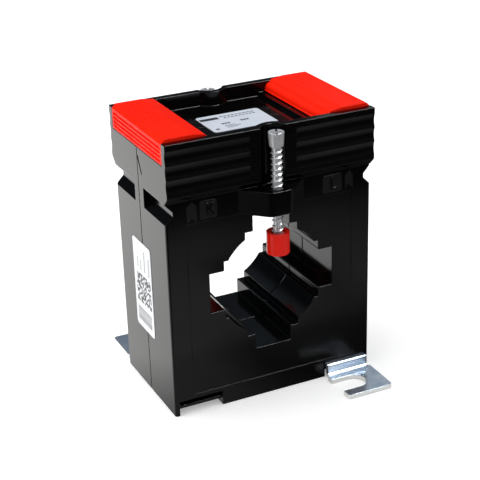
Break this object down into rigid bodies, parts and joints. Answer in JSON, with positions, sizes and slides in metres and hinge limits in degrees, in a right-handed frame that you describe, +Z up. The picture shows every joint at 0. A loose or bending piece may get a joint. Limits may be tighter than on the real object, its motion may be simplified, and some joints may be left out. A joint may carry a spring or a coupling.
{
  "type": "current transformer",
  "caption": "Window-type current transformer in a moulded case, with a stepped busbar window, hinged terminal covers, screw-driven conductor clamps and slotted steel feet.",
  "frame": {"origin": "middle of the base, on the mounting surface", "axes": "+Z up, the front with the clamp screw faces -Y, the primary conductor passes along Y, width along X"},
  "size_m": [0.0701, 0.074, 0.0921],
  "materials": {
    "black_plastic": "moulded, glossy",
    "red_plastic": "moulded, satin gloss",
    "red_cap": "moulded, glossy",
    "zinc_screw": "bright zinc plated",
    "zinc_sheet": "blue-white zinc plated sheet",
    "brass_bar": "plain, lightly oxidised",
    "terminal_steel": "zinc plated",
    "core_steel": "wound silicon steel strip",
    "case_plastic": "moulded",
    "winding_copper": "enamelled copper wire",
    "lead_sleeve": "insulating sleeve",
    "rating_label": "coated film",
    "side_label": "coated film"
  },
  "bodies": {
    "housing": {"housing_front": "black_plastic", "housing_back": "black_plastic", "foot_front_right": "zinc_sheet", "foot_back_left": "zinc_sheet", "terminal_bar_right": "brass_bar", "terminal_bar_left": "brass_bar", "core_ring": "core_steel", "core_case_front": "case_plastic", "core_case_back": "case_plastic", "secondary_winding": "winding_copper", "lead_right": "lead_sleeve", "lead_left": "lead_sleeve", "rating_label": "rating_label", "side_label": "side_label"},
    "cover_left": {"terminal_cover_left": "red_plastic"},
    "cover_right": {"terminal_cover_right": "red_plastic"},
    "cap_front": {"pressure_cap_front": "red_cap"},
    "clamp_screw_front": {"clamp_screw_front": "zinc_screw"},
    "cap_back": {"pressure_cap_back": "red_cap"},
    "clamp_screw_back": {"clamp_screw_back": "zinc_screw"},
    "plate_left_front": {"clamp_plate_left_front": "terminal_steel"},
    "screw_left_front": {"terminal_screw_left_front": "terminal_steel"},
    "plate_left_back": {"clamp_plate_left_back": "terminal_steel"},
    "screw_left_back": {"terminal_screw_left_back": "terminal_steel"},
    "plate_right_front": {"clamp_plate_right_front": "terminal_steel"},
    "screw_right_front": {"terminal_screw_right_front": "terminal_steel"},
    "plate_right_back": {"clamp_plate_right_back": "terminal_steel"},
    "screw_right_back": {"terminal_screw_right_back": "terminal_steel"}
  },
  "joints": [
    {"name": "cover_left_hinge", "type": "hinge", "parent": "housing", "child": "cover_left", "pos_m": [-0.0205, 0, 0.0888], "axis": [0, 1, 0], "range_deg": [0, 100]},
    {"name": "cover_right_hinge", "type": "hinge", "parent": "housing", "child": "cover_right", "pos_m": [0.0205, 0, 0.0888], "axis": [0, -1, 0], "range_deg": [0, 100]},
    {"name": "cap_front_travel", "type": "slide", "parent": "housing", "child": "cap_front", "axis": [0, 0, 1], "range_m": [-0.013, 0.006]},
    {"name": "clamp_screw_front_turn", "type": "hinge", "parent": "cap_front", "child": "clamp_screw_front", "pos_m": [0, -0.0243, 0.07], "axis": [0, 0, 1], "range_deg": [-2600.01, 1200.01]},
    {"name": "cap_back_travel", "type": "slide", "parent": "housing", "child": "cap_back", "axis": [0, 0, 1], "range_m": [-0.013, 0.006]},
    {"name": "clamp_screw_back_turn", "type": "hinge", "parent": "cap_back", "child": "clamp_screw_back", "pos_m": [0, 0.0243, 0.07], "axis": [0, 0, 1], "range_deg": [-2600.01, 1200.01]},
    {"name": "plate_left_front_travel", "type": "slide", "parent": "housing", "child": "plate_left_front", "axis": [0, 0, 1], "range_m": [0, 0.003]},
    {"name": "screw_left_front_turn", "type": "hinge", "parent": "plate_left_front", "child": "screw_left_front", "pos_m": [-0.0264, -0.0095, 0.081], "axis": [0, 0, 1], "range_deg": [-0.01, 1350.01]},
    {"name": "plate_left_back_travel", "type": "slide", "parent": "housing", "child": "plate_left_back", "axis": [0, 0, 1], "range_m": [0, 0.003]},
    {"name": "screw_left_back_turn", "type": "hinge", "parent": "plate_left_back", "child": "screw_left_back", "pos_m": [-0.0264, 0.0095, 0.081], "axis": [0, 0, 1], "range_deg": [-0.01, 1350.01]},
    {"name": "plate_right_front_travel", "type": "slide", "parent": "housing", "child": "plate_right_front", "axis": [0, 0, 1], "range_m": [0, 0.003]},
    {"name": "screw_right_front_turn", "type": "hinge", "parent": "plate_right_front", "child": "screw_right_front", "pos_m": [0.0264, -0.0095, 0.081], "axis": [0, 0, 1], "range_deg": [-0.01, 1350.01]},
    {"name": "plate_right_back_travel", "type": "slide", "parent": "housing", "child": "plate_right_back", "axis": [0, 0, 1], "range_m": [0, 0.003]},
    {"name": "screw_right_back_turn", "type": "hinge", "parent": "plate_right_back", "child": "screw_right_back", "pos_m": [0.0264, 0.0095, 0.081], "axis": [0, 0, 1], "range_deg": [-0.01, 1350.01]}
  ],
  "couplings": [
    {"joint": "clamp_screw_front_turn", "follows": "cap_front_travel", "rad_per_m": 3490.7},
    {"joint": "clamp_screw_back_turn", "follows": "cap_back_travel", "rad_per_m": 3490.7},
    {"joint": "screw_left_front_turn", "follows": "plate_left_front_travel", "rad_per_m": 7854},
    {"joint": "screw_left_back_turn", "follows": "plate_left_back_travel", "rad_per_m": 7854},
    {"joint": "screw_right_front_turn", "follows": "plate_right_front_travel", "rad_per_m": 7854},
    {"joint": "screw_right_back_turn", "follows": "plate_right_back_travel", "rad_per_m": 7854}
  ]
}
